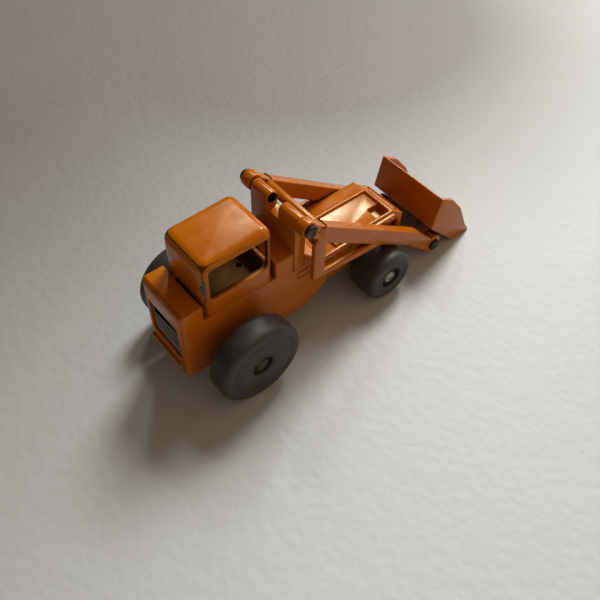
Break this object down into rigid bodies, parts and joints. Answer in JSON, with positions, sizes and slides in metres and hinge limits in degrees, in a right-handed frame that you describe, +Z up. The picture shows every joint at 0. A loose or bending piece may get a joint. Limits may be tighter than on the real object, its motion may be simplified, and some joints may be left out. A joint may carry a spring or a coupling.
{
  "type": "toy wheeled loading shovel",
  "caption": "Pocket-sized die-cast toy loading shovel with a rear cab, lift arms on a mast, a tipping bucket and free-rolling wheels.",
  "frame": {"origin": "on the ground, under the middle of the toy's bounding box", "axes": "+X forward towards the bucket lip, +Y to the toy's left, +Z up"},
  "size_m": [0.0666, 0.0254, 0.0281],
  "materials": {
    "orange_enamel": "glossy stoved enamel on zinc casting, chipped to grey metal at the edges",
    "bare_casting": "thin orange enamel over zinc, rubbed",
    "grille_grey": "dull grey paint",
    "steel_wire": "tarnished steel with formed heads",
    "grey_wheel": "dark grey moulded plastic, slightly worn"
  },
  "bodies": {
    "chassis": {"body_casting": "orange_enamel", "cab_casting": "orange_enamel", "base_plate": "bare_casting", "grille_insert": "grille_grey", "left_lift_rivet": "steel_wire", "right_lift_rivet": "steel_wire", "rear_axle": "steel_wire", "front_axle": "steel_wire", "rear_base_rivet": "steel_wire", "front_base_rivet": "steel_wire", "rear_cab_rivet": "steel_wire", "front_cab_rivet": "steel_wire"},
    "lift_arms": {"left_arm": "orange_enamel", "right_arm": "orange_enamel", "arm_cross_tube": "orange_enamel", "left_bucket_rivet": "steel_wire", "right_bucket_rivet": "steel_wire"},
    "bucket": {"bucket": "orange_enamel"},
    "wheel_rear_left": {"rear_left_wheel": "grey_wheel"},
    "wheel_rear_right": {"rear_right_wheel": "grey_wheel"},
    "wheel_front_left": {"front_left_wheel": "grey_wheel"},
    "wheel_front_right": {"front_right_wheel": "grey_wheel"}
  },
  "joints": [
    {"name": "arm_lift", "type": "hinge", "parent": "chassis", "child": "lift_arms", "pos_m": [-0.0101, 0, 0.0267], "axis": [0, -1, 0], "range_deg": [0, 45]},
    {"name": "bucket_tip", "type": "hinge", "parent": "lift_arms", "child": "bucket", "pos_m": [0.0227, 0, 0.0026], "axis": [0, -1, 0], "range_deg": [-55, 8]},
    {"name": "rear_left_spin", "type": "hinge", "parent": "chassis", "child": "wheel_rear_left", "pos_m": [-0.0229, 0.0104, 0.0078], "axis": [0, 1, 0], "continuous": true},
    {"name": "rear_right_spin", "type": "hinge", "parent": "chassis", "child": "wheel_rear_right", "pos_m": [-0.0229, -0.0104, 0.0078], "axis": [0, 1, 0], "continuous": true},
    {"name": "front_left_spin", "type": "hinge", "parent": "chassis", "child": "wheel_front_left", "pos_m": [0.0082, 0.00725, 0.0051], "axis": [0, 1, 0], "continuous": true},
    {"name": "front_right_spin", "type": "hinge", "parent": "chassis", "child": "wheel_front_right", "pos_m": [0.0082, -0.00725, 0.0051], "axis": [0, 1, 0], "continuous": true}
  ]
}
